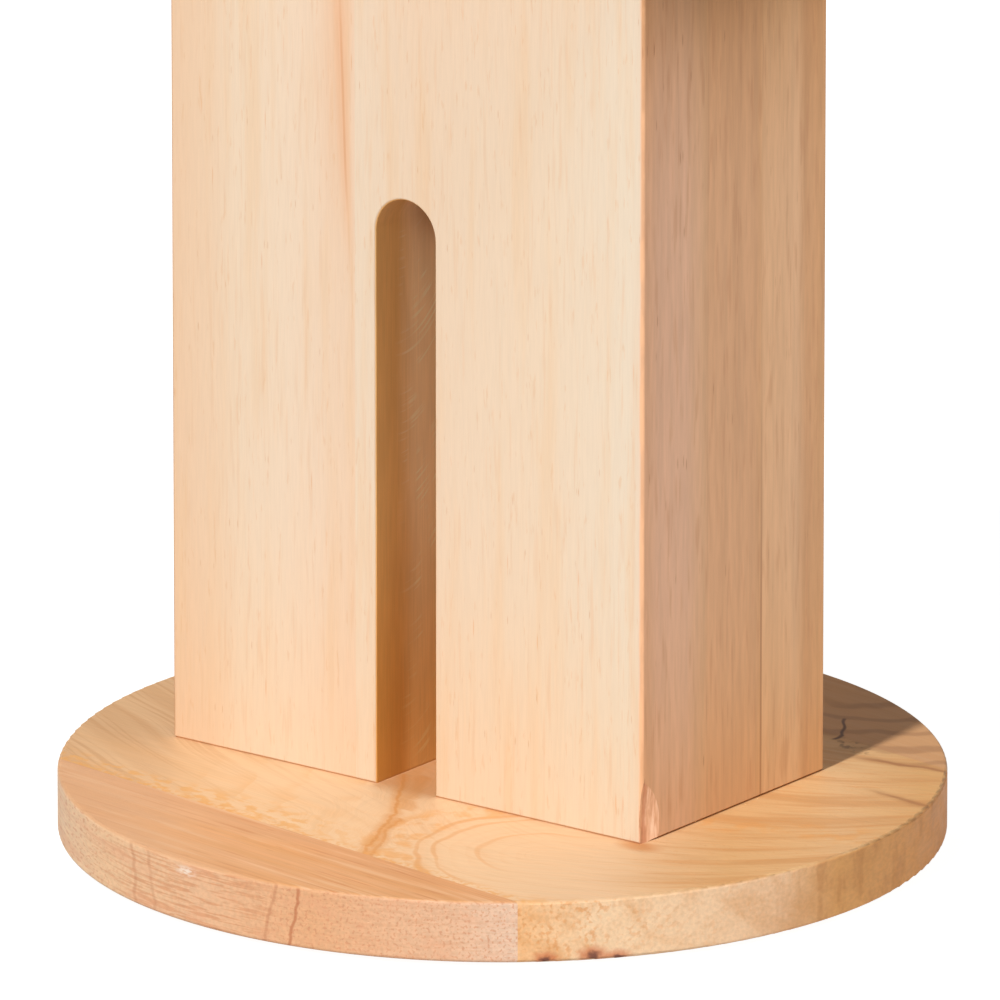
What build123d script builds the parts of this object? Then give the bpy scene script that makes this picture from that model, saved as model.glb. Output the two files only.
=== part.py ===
"""Wooden paper towel holder: round base, slotted laminated column, and a turning plate with a spindle.

Millimetres. +Z is up, +X runs to the right along the column's front face, and +Y runs from front to back.
The origin is the centre of the round base, on the surface that its pads stand on.
"""
from build123d import *
import math
import os

# Base: three boards glued edge to edge, then cut round.
BASE_DIAMETER = 180.0
BASE_THICKNESS = 12.8
BASE_EDGE_ROUND = 0.7
BASE_GRAIN_ANGLE = -8.25
BASE_GLUE_LINE = 0.34 * BASE_DIAMETER

# Anti-slip pads in shallow recesses under the middle board.
PAD_DIAMETER = 16.0
PAD_THICKNESS = 2.5
PAD_RECESS = 1.5
PAD_CIRCLE_RADIUS = 68.0
PAD_COUNT = 4
PAD_ROUND = 0.5

# Column: three layers glued face to face, each of two staves glued edge to edge.
COLUMN_WIDTH = 118.6
COLUMN_DEPTH = 61.8
COLUMN_HEIGHT = 190.0
COLUMN_X = -5.0
COLUMN_Y = 5.1
OUTER_LAYER = 21.8
FRONT_JOINT_SHARE = 0.394
MIDDLE_JOINT_SHARE = 0.64
REAR_JOINT_SHARE = 0.33
ARRIS_ROUND = 0.8
END_CHAMFER = 0.4

# Slot: open at the foot, round at the top, right through the column.
SLOT_WIDTH = 14.9
SLOT_HEIGHT = 123.8
SLOT_ARRIS = 0.35

# A flake has broken off the foot of the front right-hand arris.
CHIP_FRONT = 0.7
CHIP_SIDE = 5.6
CHIP_LEVEL = 3.6
CHIP_SCOOP_RADIUS = 62.6

# Fastenings between the base and the column's two legs.
SCREW_SHANK = 4.2
SCREW_HEAD = 8.4
SCREW_LENGTH = 45.0
SCREW_TIP_RADIUS = 0.2
RECESS_ARM_LENGTH = 0.55
RECESS_ARM_WIDTH = 0.13
DOWEL_DIAMETER = 10.0
DOWEL_LENGTH = 34.0
DOWEL_IN_BASE = 9.0
DOWEL_CHAMFER = 1.0

# Pivot of the turning plate.
PIVOT_DIAMETER = 8.0
PIVOT_IN_COLUMN = 45.0
PIVOT_CHAMFER = 0.8
SLIP_DISC_DIAMETER = 54.0
SLIP_DISC_THICKNESS = 1.6
RUNNING_GAP = 0.1
BUSH_BORE_CLEARANCE = 0.05
BUSH_OUTER = 12.0
BUSH_FLANGE = 18.0
BUSH_FLANGE_THICKNESS = 1.5
WASHER_DIAMETER = 20.0
WASHER_THICKNESS = 1.5
NUT_ACROSS_FLATS = 13.0
NUT_HEIGHT = 8.0
NUT_COLLAR_HEIGHT = 2.0
NUT_COLLAR_DIAMETER = 11.7
BOLT_PAST_NUT = 1.5

# Turning plate, the hub that centres a roll's core, the spindle and its knob.
PLATE_DIAMETER = 150.0
PLATE_THICKNESS = 12.8
PLATE_EDGE_ROUND = 1.5
PLATE_GRAIN_ANGLE = 24.0
PLATE_GLUE_LINE = 0.3 * PLATE_DIAMETER
HUB_DIAMETER = 38.0
HUB_HEIGHT = 28.0
HUB_TOP_ROUND = 3.0
HUB_SPIGOT_DIAMETER = 37.0
HUB_RECESS_DIAMETER = 38.2
HUB_RECESS_DEPTH = 1.0
HUB_SOCKET_DEPTH = 14.0
HUB_CAVITY_DIAMETER = 26.0
HUB_SCREW_SHANK = 3.0
HUB_SCREW_HEAD = 6.0
HUB_SCREW_LENGTH = 26.0
HUB_SCREW_COUNT = 3
SPINDLE_DIAMETER = 28.0
SPINDLE_TOP = 265.0
KNOB_BALL_RADIUS = 16.0
KNOB_BEAD_HEIGHT = 4.0
KNOB_BEAD_BULGE = 1.6
KNOB_COVE_RADIUS = 10.2
KNOB_COVE_HEIGHT = 5.4
KNOB_NECK_RADIUS = 9.0
KNOB_NECK_TOP = 7.5
KNOB_SCREW_DIAMETER = 6.0
KNOB_SCREW_LENGTH = 36.0

# Heights that follow from the sizes above.
BASE_BOTTOM = PAD_THICKNESS - PAD_RECESS
BASE_TOP = BASE_BOTTOM + BASE_THICKNESS
COLUMN_TOP = BASE_TOP + COLUMN_HEIGHT
PLATE_BOTTOM = COLUMN_TOP + SLIP_DISC_THICKNESS + RUNNING_GAP
PLATE_TOP = PLATE_BOTTOM + PLATE_THICKNESS
WASHER_BOTTOM = PLATE_TOP + RUNNING_GAP
NUT_BOTTOM = WASHER_BOTTOM + WASHER_THICKNESS
BOLT_TOP = NUT_BOTTOM + NUT_HEIGHT + BOLT_PAST_NUT
HUB_FOOT = PLATE_TOP - HUB_RECESS_DEPTH
SPINDLE_FOOT = PLATE_TOP + HUB_HEIGHT - HUB_SOCKET_DEPTH
KNOB_FOOT = PLATE_TOP + SPINDLE_TOP

# Plan positions that follow from the sizes above.
FRONT_FACE = COLUMN_Y - COLUMN_DEPTH / 2
REAR_FACE = COLUMN_Y + COLUMN_DEPTH / 2
LEFT_FACE = COLUMN_X - COLUMN_WIDTH / 2
RIGHT_FACE = COLUMN_X + COLUMN_WIDTH / 2
LEG_OFFSET = (COLUMN_WIDTH + SLOT_WIDTH) / 4
OUTER_LAYER_OFFSET = (COLUMN_DEPTH - OUTER_LAYER) / 2
HUB_SCREW_RADIUS = (HUB_DIAMETER + HUB_CAVITY_DIAMETER) / 4

FAR = 400.0
OVERCUT = 1.0
UPWARDS = (Align.CENTER, Align.CENTER, Align.MIN)


def rod(diameter, length, x, y, z):
    """An upright cylinder with its lower end at z."""
    return Pos(x, y, z) * Cylinder(diameter / 2, length, align=UPWARDS)


def on_pivot(diameter, length, z):
    """An upright cylinder on the column's centre line."""
    return rod(diameter, length, COLUMN_X, COLUMN_Y, z)


def turned(profile):
    """Revolve a half profile of (radius, height) edges about the column's centre line."""
    solid = revolve(make_face(profile), Axis.Z)
    return Pos(COLUMN_X, COLUMN_Y, 0) * solid


def pointed_rod(diameter, length):
    """A rod that stands on its point, the end that goes into the wood."""
    radius = diameter / 2
    tip = Cone(SCREW_TIP_RADIUS, radius, 2 * radius, align=UPWARDS)
    shank = Pos(0, 0, 2 * radius) * Cylinder(radius, length - 2 * radius, align=UPWARDS)
    return tip + shank


def screw_form(shank, head, length):
    """A countersunk screw's outline, head down at z = 0 and its point up."""
    radius = shank / 2
    head_height = head / 2 - radius
    point_height = 3 * radius
    straight_height = length - head_height - point_height
    cone = Cone(head / 2, radius, head_height, align=UPWARDS)
    straight = Pos(0, 0, head_height) * Cylinder(radius, straight_height, align=UPWARDS)
    point = Pos(0, 0, length - point_height) * Cone(radius, SCREW_TIP_RADIUS, point_height, align=UPWARDS)
    return cone + straight + point


def screw(shank, head, length):
    """A countersunk screw with a cross recess in its head."""
    arm = Box(RECESS_ARM_LENGTH * head, RECESS_ARM_WIDTH * head, shank / 2, align=UPWARDS)
    return screw_form(shank, head, length) - arm - Rot(0, 0, 90) * arm


def disc_boards(diameter, thickness, z, x, y, edge_round, grain_angle, glue_line):
    """A round board with softened edges, split into its front, middle and rear boards."""
    whole = rod(diameter, thickness, x, y, z)
    whole = fillet(whole.edges().filter_by(GeomType.CIRCLE), edge_round)
    limits = (-FAR, -glue_line, glue_line, FAR)
    boards = []
    for low, high in zip(limits, limits[1:]):
        strip = Pos(0, (low + high) / 2, 0) * Box(2 * FAR, high - low, 2 * FAR)
        boards.append(whole & (Pos(x, y, z) * Rot(0, 0, grain_angle) * strip))
    return boards


def leg_points(y_offset):
    """The centre of each leg, moved y_offset towards the back."""
    return [(COLUMN_X + side * LEG_OFFSET, COLUMN_Y + y_offset) for side in (-1, 1)]


def base_screw_places():
    """Two screws up into each leg, one in the front layer and one in the rear layer."""
    points = leg_points(-OUTER_LAYER_OFFSET) + leg_points(OUTER_LAYER_OFFSET)
    return [Pos(x, y, BASE_BOTTOM) for x, y in points]


def hub_screw_places():
    """Three screws up through the plate into the hub's wall."""
    places = []
    for index in range(HUB_SCREW_COUNT):
        turn = Rot(0, 0, 360 * index / HUB_SCREW_COUNT + PLATE_GRAIN_ANGLE)
        places.append(Pos(COLUMN_X, COLUMN_Y, PLATE_BOTTOM) * turn * Pos(HUB_SCREW_RADIUS, 0, 0))
    return places


def pad_points():
    """Four pads, spread half a right angle each side of the base's grain."""
    points = []
    for index in range(PAD_COUNT):
        angle = math.radians(BASE_GRAIN_ANGLE + 45 + 360 * index / PAD_COUNT)
        points.append((PAD_CIRCLE_RADIUS * math.cos(angle), PAD_CIRCLE_RADIUS * math.sin(angle)))
    return points


def column_dowels():
    """Two wooden dowels that line the column up with the base."""
    dowels = []
    for x, y in leg_points(0):
        dowel = rod(DOWEL_DIAMETER, DOWEL_LENGTH, x, y, BASE_TOP - DOWEL_IN_BASE)
        dowels.append(chamfer(dowel.edges().filter_by(GeomType.CIRCLE), DOWEL_CHAMFER))
    return dowels


def foot_holes():
    """Everything that is bored for the screws and dowels between base and column."""
    holes = [place * screw_form(SCREW_SHANK, SCREW_HEAD, SCREW_LENGTH) for place in base_screw_places()]
    holes += [rod(DOWEL_DIAMETER, DOWEL_LENGTH, x, y, BASE_TOP - DOWEL_IN_BASE) for x, y in leg_points(0)]
    return holes


def base_boards():
    front, middle, rear = disc_boards(
        BASE_DIAMETER, BASE_THICKNESS, BASE_BOTTOM, 0, 0, BASE_EDGE_ROUND, BASE_GRAIN_ANGLE, BASE_GLUE_LINE
    )
    for hole in foot_holes():
        middle -= hole
    for x, y in pad_points():
        middle -= rod(PAD_DIAMETER, PAD_RECESS + OVERCUT, x, y, BASE_BOTTOM - OVERCUT)
    return {"base_board_front": front, "base_board_middle": middle, "base_board_rear": rear}


def rubber_pads():
    pads = []
    for x, y in pad_points():
        pad = rod(PAD_DIAMETER, PAD_THICKNESS, x, y, 0)
        lower_edge = pad.edges().filter_by(GeomType.CIRCLE).sort_by(Axis.Z)[0]
        pads.append(fillet(lower_edge, PAD_ROUND))
    return pads


def slot_cutter():
    """The slot's outline, swept right through the column from front to back."""
    radius = SLOT_WIDTH / 2
    springing = BASE_TOP + SLOT_HEIGHT - radius
    shank_height = springing - BASE_TOP + OVERCUT
    depth = COLUMN_DEPTH + 2 * OVERCUT
    foot = Pos(COLUMN_X, COLUMN_Y, BASE_TOP - OVERCUT)
    straight = foot * Box(SLOT_WIDTH, depth, shank_height, align=UPWARDS)
    arch = Pos(COLUMN_X, COLUMN_Y, springing) * Rot(90, 0, 0) * Cylinder(radius, depth)
    return straight + arch


def chip_cutter():
    """A shallow scoop, widest a little above the foot, that lifts a long thin flake off the arris."""
    chord = math.hypot(CHIP_FRONT, CHIP_SIDE)
    reach = math.sqrt(CHIP_SCOOP_RADIUS**2 - chord**2 / 4)
    x = RIGHT_FACE - CHIP_FRONT / 2 + reach * CHIP_SIDE / chord
    y = FRONT_FACE + CHIP_SIDE / 2 - reach * CHIP_FRONT / chord
    return Pos(x, y, BASE_TOP + CHIP_LEVEL) * Sphere(CHIP_SCOOP_RADIUS)


def column_block():
    """The glued-up column, with its slot, softened edges, chip and holes."""
    foot = Pos(COLUMN_X, COLUMN_Y, BASE_TOP)
    block = foot * Box(COLUMN_WIDTH, COLUMN_DEPTH, COLUMN_HEIGHT, align=UPWARDS)
    block = fillet(block.edges().filter_by(Axis.Z), ARRIS_ROUND)
    faces = block.faces().sort_by(Axis.Z)
    block = chamfer(faces[0].edges() + faces[-1].edges(), END_CHAMFER)
    block -= slot_cutter()
    block = chamfer(slot_mouth_edges(block), SLOT_ARRIS)
    block -= chip_cutter()
    for hole in foot_holes():
        block -= hole
    return block - on_pivot(PIVOT_DIAMETER, PIVOT_IN_COLUMN, COLUMN_TOP - PIVOT_IN_COLUMN)


def slot_mouth_edges(block):
    """The slot's upright and arched edges on the front and rear faces."""
    mouth = []
    for face_y in (FRONT_FACE, REAR_FACE):
        for edge in block.edges():
            box = edge.bounding_box()
            in_face = abs(box.min.Y - face_y) < 0.01 and abs(box.max.Y - face_y) < 0.01
            in_width = abs(edge.center().X - COLUMN_X) < SLOT_WIDTH / 2 + 0.01
            if in_face and in_width and box.size.Z > OVERCUT:
                mouth.append(edge)
    return mouth


def column_staves():
    """Three layers from front to back, each cut at its own joint into a left and a right stave."""
    block = column_block()
    layers = (
        ("front", FRONT_FACE - OVERCUT, FRONT_FACE + OUTER_LAYER, FRONT_JOINT_SHARE),
        ("middle", FRONT_FACE + OUTER_LAYER, REAR_FACE - OUTER_LAYER, MIDDLE_JOINT_SHARE),
        ("rear", REAR_FACE - OUTER_LAYER, REAR_FACE + OVERCUT, REAR_JOINT_SHARE),
    )
    staves = {}
    for layer, low_y, high_y, share in layers:
        joint_x = LEFT_FACE + share * COLUMN_WIDTH
        sides = (("left", LEFT_FACE - OVERCUT, joint_x), ("right", joint_x, RIGHT_FACE + OVERCUT))
        for side, low_x, high_x in sides:
            corner = Pos(low_x, low_y, 0)
            stave = block & corner * Box(high_x - low_x, high_y - low_y, FAR, align=(Align.MIN,) * 3)
            staves[f"column_{layer}_stave_{side}"] = stave
    return staves


def pivot_bolt():
    """A hanger bolt: its point in the column and its machine thread up through the plate."""
    length = BOLT_TOP - COLUMN_TOP + PIVOT_IN_COLUMN
    bolt = pointed_rod(PIVOT_DIAMETER, length)
    top_edge = bolt.edges().filter_by(GeomType.CIRCLE).sort_by(Axis.Z)[-1]
    return Pos(COLUMN_X, COLUMN_Y, COLUMN_TOP - PIVOT_IN_COLUMN) * chamfer(top_edge, PIVOT_CHAMFER)


def slip_disc():
    ring = on_pivot(SLIP_DISC_DIAMETER, SLIP_DISC_THICKNESS, COLUMN_TOP)
    return ring - on_pivot(PIVOT_DIAMETER, SLIP_DISC_THICKNESS, COLUMN_TOP)


def pivot_washer():
    ring = on_pivot(WASHER_DIAMETER, WASHER_THICKNESS, WASHER_BOTTOM)
    return ring - on_pivot(PIVOT_DIAMETER, WASHER_THICKNESS, WASHER_BOTTOM)


def pivot_lock_nut():
    """A hexagonal nut whose round collar holds the locking ring."""
    outline = RegularPolygon(NUT_ACROSS_FLATS / 2, 6, major_radius=False)
    hexagon = extrude(outline, NUT_HEIGHT - NUT_COLLAR_HEIGHT)
    collar = on_pivot(NUT_COLLAR_DIAMETER, NUT_COLLAR_HEIGHT, NUT_BOTTOM + NUT_HEIGHT - NUT_COLLAR_HEIGHT)
    nut = Pos(COLUMN_X, COLUMN_Y, NUT_BOTTOM) * hexagon + collar
    return nut - on_pivot(PIVOT_DIAMETER, NUT_HEIGHT, NUT_BOTTOM)


def bush_form():
    """The bush's outline, flange down and level with the plate's underside."""
    flange = on_pivot(BUSH_FLANGE, BUSH_FLANGE_THICKNESS, PLATE_BOTTOM)
    return flange + on_pivot(BUSH_OUTER, PLATE_THICKNESS, PLATE_BOTTOM)


def plate_bush():
    return bush_form() - on_pivot(PIVOT_DIAMETER + 2 * BUSH_BORE_CLEARANCE, PLATE_THICKNESS, PLATE_BOTTOM)


def plate_boards():
    front, middle, rear = disc_boards(
        PLATE_DIAMETER,
        PLATE_THICKNESS,
        PLATE_BOTTOM,
        COLUMN_X,
        COLUMN_Y,
        PLATE_EDGE_ROUND,
        PLATE_GRAIN_ANGLE,
        PLATE_GLUE_LINE,
    )
    middle -= bush_form()
    middle -= on_pivot(HUB_RECESS_DIAMETER, HUB_RECESS_DEPTH + OVERCUT, HUB_FOOT)
    for place in hub_screw_places():
        middle -= place * screw_form(HUB_SCREW_SHANK, HUB_SCREW_HEAD, HUB_SCREW_LENGTH)
    return {"plate_board_front": front, "plate_board_middle": middle, "plate_board_rear": rear}


def core_hub():
    """A turned hub that a roll's core drops over; it hides the nut and holds the spindle's foot."""
    hub = on_pivot(HUB_DIAMETER, HUB_HEIGHT, PLATE_TOP)
    top_edge = hub.edges().filter_by(GeomType.CIRCLE).sort_by(Axis.Z)[-1]
    hub = fillet(top_edge, HUB_TOP_ROUND)
    hub += on_pivot(HUB_SPIGOT_DIAMETER, HUB_HEIGHT / 2, HUB_FOOT)
    hub -= on_pivot(HUB_CAVITY_DIAMETER, HUB_HEIGHT, HUB_FOOT)
    hub -= on_pivot(SPINDLE_DIAMETER, HUB_SOCKET_DEPTH + OVERCUT, SPINDLE_FOOT)
    for place in hub_screw_places():
        hub -= place * screw_form(HUB_SCREW_SHANK, HUB_SCREW_HEAD, HUB_SCREW_LENGTH)
    return hub


def knob_screw():
    """A double-ended screw, half in the spindle and half in the knob."""
    half = pointed_rod(KNOB_SCREW_DIAMETER, KNOB_SCREW_LENGTH / 2)
    lower = Pos(COLUMN_X, COLUMN_Y, KNOB_FOOT - KNOB_SCREW_LENGTH / 2) * half
    upper = Pos(COLUMN_X, COLUMN_Y, KNOB_FOOT + KNOB_SCREW_LENGTH / 2) * Rot(180, 0, 0) * half
    return lower + upper


def spindle():
    length = KNOB_FOOT - SPINDLE_FOOT
    return on_pivot(SPINDLE_DIAMETER, length, SPINDLE_FOOT) - knob_screw()


def finial_knob():
    """A turned bead, neck and ball, narrower than a roll's core."""
    spindle_radius = SPINDLE_DIAMETER / 2
    ball_centre = KNOB_NECK_TOP + math.sqrt(KNOB_BALL_RADIUS**2 - KNOB_NECK_RADIUS**2)
    foot = KNOB_FOOT

    def point(radius, height):
        return (radius, 0, foot + height)

    floor = Line(point(0, 0), point(spindle_radius, 0))
    bead = ThreePointArc(
        point(spindle_radius, 0),
        point(spindle_radius + KNOB_BEAD_BULGE, KNOB_BEAD_HEIGHT / 2),
        point(spindle_radius, KNOB_BEAD_HEIGHT),
    )
    cove = ThreePointArc(
        point(spindle_radius, KNOB_BEAD_HEIGHT),
        point(KNOB_COVE_RADIUS, KNOB_COVE_HEIGHT),
        point(KNOB_NECK_RADIUS, KNOB_NECK_TOP),
    )
    ball = ThreePointArc(
        point(KNOB_NECK_RADIUS, KNOB_NECK_TOP),
        point(KNOB_BALL_RADIUS, ball_centre),
        point(0, ball_centre + KNOB_BALL_RADIUS),
    )
    centre = Line(point(0, ball_centre + KNOB_BALL_RADIUS), point(0, 0))
    return turned(floor + bead + cove + ball + centre) - knob_screw()


def all_parts():
    base_screw = screw(SCREW_SHANK, SCREW_HEAD, SCREW_LENGTH)
    hub_screw = screw(HUB_SCREW_SHANK, HUB_SCREW_HEAD, HUB_SCREW_LENGTH)
    parts = {}
    parts.update(base_boards())
    parts["rubber_pads"] = Compound(children=rubber_pads())
    parts.update(column_staves())
    parts["column_dowels"] = Compound(children=column_dowels())
    parts["base_screws"] = Compound(children=[place * base_screw for place in base_screw_places()])
    parts["pivot_bolt"] = pivot_bolt()
    parts["slip_disc"] = slip_disc()
    parts["pivot_washer"] = pivot_washer()
    parts["pivot_lock_nut"] = pivot_lock_nut()
    parts.update(plate_boards())
    parts["plate_bush"] = plate_bush()
    parts["core_hub"] = core_hub()
    parts["hub_screws"] = Compound(children=[place * hub_screw for place in hub_screw_places()])
    parts["spindle"] = spindle()
    parts["finial_knob"] = finial_knob()
    parts["knob_screw"] = knob_screw()
    return parts


os.makedirs("parts", exist_ok=True)
for name, shape in all_parts().items():
    export_step(shape, f"parts/{name}.step")
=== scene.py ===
import math

import bpy
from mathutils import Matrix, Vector


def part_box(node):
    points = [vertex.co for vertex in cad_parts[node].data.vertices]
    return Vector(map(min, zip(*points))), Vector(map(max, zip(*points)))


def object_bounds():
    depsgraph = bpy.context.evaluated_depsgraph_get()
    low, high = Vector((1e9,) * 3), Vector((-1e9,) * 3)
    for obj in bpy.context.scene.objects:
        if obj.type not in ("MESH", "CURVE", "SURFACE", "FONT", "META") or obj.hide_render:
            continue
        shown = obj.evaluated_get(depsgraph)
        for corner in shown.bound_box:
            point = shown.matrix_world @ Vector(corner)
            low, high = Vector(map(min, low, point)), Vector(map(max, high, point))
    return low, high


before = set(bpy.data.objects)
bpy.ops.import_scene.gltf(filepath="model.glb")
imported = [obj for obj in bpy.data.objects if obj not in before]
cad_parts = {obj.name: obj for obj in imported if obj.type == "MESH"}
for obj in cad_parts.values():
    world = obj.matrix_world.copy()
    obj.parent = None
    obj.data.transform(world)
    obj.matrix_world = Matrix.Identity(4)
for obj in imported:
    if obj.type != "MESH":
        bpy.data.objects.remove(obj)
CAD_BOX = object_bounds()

# View: a long lens, a little above the base, from the front right.
VIEW_AZIMUTH = math.radians(37.0)
VIEW_ELEVATION = math.radians(17.04)
VIEW_TARGET = Vector((-0.0004, -0.0003, 0.0696))
VIEW_DISTANCE = 4.433
LENS = 792.0
SENSOR = 36.0

# Lights. Each sun has a course over the ground, an elevation, a power and an angular size.
KEY_COURSE = (-0.05, 1.0)
FRONT_COURSE = (-0.5, 0.866)
FILL_COURSE = (-1.0, 0.0)
BACK_COURSE = (0.2, -1.0)
SUNS = {
    "key_on_column": (KEY_COURSE, 25.0, 1.97, 4.0),
    "front_on_column": (FRONT_COURSE, 18.0, 0.60, 24.0),
    "key_on_rest": (KEY_COURSE, 50.0, 2.95, 4.0),
    "fill_on_column": (FILL_COURSE, 66.0, 2.25, 30.0),
    "fill_on_rest": (FILL_COURSE, 8.0, 0.75, 36.0),
    "back_on_column": (BACK_COURSE, 32.0, 0.70, 30.0),
}
SKY = (0.28, 0.275, 0.27)
FLOOR_SEEN = 0.94
FLOOR_CAST = 0.36
FLOOR_REFLECTANCE = 0.25
FLOOR_HALF_WIDTH = 60.0

# The object, in millimetres of the CAD's frame. RIM_COURSE runs across the picture from left to right.
MM = 1000.0
BASE_GRAIN = math.radians(-8.25)
PLATE_GRAIN = math.radians(24.0)
RIM_COURSE = (math.cos(VIEW_AZIMUTH), math.sin(VIEW_AZIMUTH))
SLOT_HEIGHT = 123.8
SLOT_RADIUS = 7.45
CHIP_FRONT = 0.7
CHIP_SIDE = 5.6
CHIP_LEVEL = 3.6
CHIP_RADIUS = 62.6
GLUE_LINE_SHARE = 0.34


def millimetres(point):
    return tuple(MM * c for c in point)


BASE_LOW, BASE_HIGH = map(millimetres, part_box("base_board_middle"))
FRONT_LOW, FRONT_HIGH = map(millimetres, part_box("column_front_stave_right"))
LEFT_LOW = millimetres(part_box("column_front_stave_left")[0])
REAR_LOW, REAR_HIGH = map(millimetres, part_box("column_rear_stave_left"))
PLATE_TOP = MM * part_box("plate_board_middle")[1][2]
BASE_TOP = BASE_HIGH[2]
BASE_RADIUS = (BASE_HIGH[0] - BASE_LOW[0]) / 2
BASE_GLUE_LINE = GLUE_LINE_SHARE * 2 * BASE_RADIUS
COLUMN_X = (LEFT_LOW[0] + FRONT_HIGH[0]) / 2
COLUMN_Y = (FRONT_LOW[1] + REAR_HIGH[1]) / 2
RIGHT_FACE = FRONT_HIGH[0]
FRONT_FACE = FRONT_LOW[1]
HALF_WIDTH = RIGHT_FACE - COLUMN_X
SLOT_SPRINGING = BASE_TOP + SLOT_HEIGHT - SLOT_RADIUS
CHIP_CHORD = math.hypot(CHIP_FRONT, CHIP_SIDE)
CHIP_REACH = math.sqrt(CHIP_RADIUS**2 - CHIP_CHORD**2 / 4)
CHIP_CENTRE = (
    RIGHT_FACE - CHIP_FRONT / 2 + CHIP_REACH * CHIP_SIDE / CHIP_CHORD,
    FRONT_FACE + CHIP_SIDE / 2 - CHIP_REACH * CHIP_FRONT / CHIP_CHORD,
    BASE_TOP + CHIP_LEVEL,
)


def linear(channel):
    c = channel / 255
    return c / 12.92 if c <= 0.04045 else ((c + 0.055) / 1.055) ** 2.4


def tone(red, green, blue, light=(1.0, 1.0, 1.0)):
    """The surface colour that looks like this on screen under that red, green and blue light."""
    return tuple(min(linear(c) / share, 1.0) for c, share in zip((red, green, blue), light)) + (1.0,)


class Graph:
    """Short names for one material's nodes. Lengths are millimetres in the CAD's frame."""

    def __init__(self, name):
        self.material = bpy.data.materials.new(name)
        self.material.use_nodes = True
        self.tree = self.material.node_tree
        self.tree.nodes.clear()
        coords = self.add("ShaderNodeTexCoord")
        scaled = self.add("ShaderNodeVectorMath", operation="SCALE")
        self.tree.links.new(coords.outputs["Object"], scaled.inputs[0])
        scaled.inputs["Scale"].default_value = MM
        self.place = scaled.outputs[0]
        split = self.add("ShaderNodeSeparateXYZ")
        self.tree.links.new(self.place, split.inputs[0])
        self.x, self.y, self.z = split.outputs

    def add(self, kind, **settings):
        node = self.tree.nodes.new(kind)
        for key, value in settings.items():
            setattr(node, key, value)
        return node

    def feed(self, socket, value):
        if isinstance(value, bpy.types.NodeSocket):
            self.tree.links.new(value, socket)
        else:
            socket.default_value = value

    def math(self, operation, *values, clamp=False):
        node = self.add("ShaderNodeMath", operation=operation, use_clamp=clamp)
        for socket, value in zip(node.inputs, values):
            self.feed(socket, value)
        return node.outputs[0]

    def plus(self, a, b):
        return self.math("ADD", a, b)

    def minus(self, a, b):
        return self.math("SUBTRACT", a, b)

    def times(self, a, b):
        return self.math("MULTIPLY", a, b)

    def top(self, a, b):
        return self.math("MAXIMUM", a, b)

    def square(self, a):
        return self.math("MULTIPLY", a, a)

    def blend3(self, a, wa, b, wb, c=0.0):
        """a * wa + b * wb + c."""
        return self.math("MULTIPLY_ADD", a, wa, self.math("MULTIPLY_ADD", b, wb, c))

    def hypot(self, a, b):
        return self.math("SQRT", self.blend3(self.times(a, a), 1.0, self.times(b, b), 1.0))

    def vector(self, x, y, z):
        node = self.add("ShaderNodeCombineXYZ")
        for socket, value in zip(node.inputs, (x, y, z)):
            self.feed(socket, value)
        return node.outputs[0]

    def direction(self, dx, dy, dz=0.0, offset=0.0):
        """How far a point lies along a direction from the origin."""
        node = self.add("ShaderNodeVectorMath", operation="DOT_PRODUCT")
        self.tree.links.new(self.place, node.inputs[0])
        node.inputs[1].default_value = (dx, dy, dz)
        along = node.outputs["Value"]
        return self.plus(along, offset) if offset else along

    def noise(self, u, v, w, detail=2.0, distortion=0.0):
        node = self.add("ShaderNodeTexNoise")
        self.tree.links.new(self.vector(u, v, w), node.inputs["Vector"])
        node.inputs["Scale"].default_value = 1.0
        node.inputs["Detail"].default_value = detail
        node.inputs["Roughness"].default_value = 0.5
        node.inputs["Distortion"].default_value = distortion
        return node.outputs["Fac"]

    def waver(self, amount, u, v, w, **settings):
        """Noise centred on zero and amount wide."""
        return self.times(self.minus(self.noise(u, v, w, **settings), 0.5), amount)

    def cells(self, u, v, w):
        """Distance to the nearest of a set of scattered points, and a random number for that point."""
        node = self.add("ShaderNodeTexVoronoi")
        self.tree.links.new(self.vector(u, v, w), node.inputs["Vector"])
        node.inputs["Scale"].default_value = 1.0
        node.inputs["Randomness"].default_value = 1.0
        split = self.add("ShaderNodeSeparateColor")
        self.tree.links.new(node.outputs["Color"], split.inputs[0])
        return node.outputs["Distance"], split.outputs[0]

    def step(self, value, low, high, bottom=0.0, top=1.0):
        node = self.add("ShaderNodeMapRange", interpolation_type="SMOOTHSTEP")
        for socket, given in zip(node.inputs, (value, low, high, bottom, top)):
            self.feed(socket, given)
        return node.outputs["Result"]

    def near(self, value, centre, inner, outer):
        """1 within inner of centre, falling to 0 at outer."""
        return self.step(self.math("ABSOLUTE", self.minus(value, centre)), outer, inner)

    def stroke(self, p, q, start, end, half_width, fade):
        """A straight mark in the plane of p and q from start to end, both given as (p, q)."""
        (p0, q0), (p1, q1) = start, end
        slope = (q1 - q0) / (p1 - p0)
        line = self.math("MULTIPLY_ADD", p, -slope, slope * p0 - q0)
        off = self.math("ABSOLUTE", self.plus(q, line))
        across = self.step(off, half_width, half_width * 0.2)
        ends = self.times(self.step(p, p0 - fade, p0 + fade), self.step(p, p1 + fade, p1 - fade))
        return self.times(across, ends)

    def trail(self, p, q, points, half_width, fade=0.4):
        """A mark through points, each given as (p, q) with p rising."""
        mark = 0.0
        for start, end in zip(points, points[1:]):
            mark = self.top(mark, self.stroke(p, q, start, end, half_width, fade))
        return mark

    def mix(self, factor, a, b, mode="MIX"):
        node = self.add("ShaderNodeMix", data_type="RGBA", blend_type=mode)
        self.feed(node.inputs[0], factor)
        self.feed(node.inputs[6], a)
        self.feed(node.inputs[7], b)
        return node.outputs[2]

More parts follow.
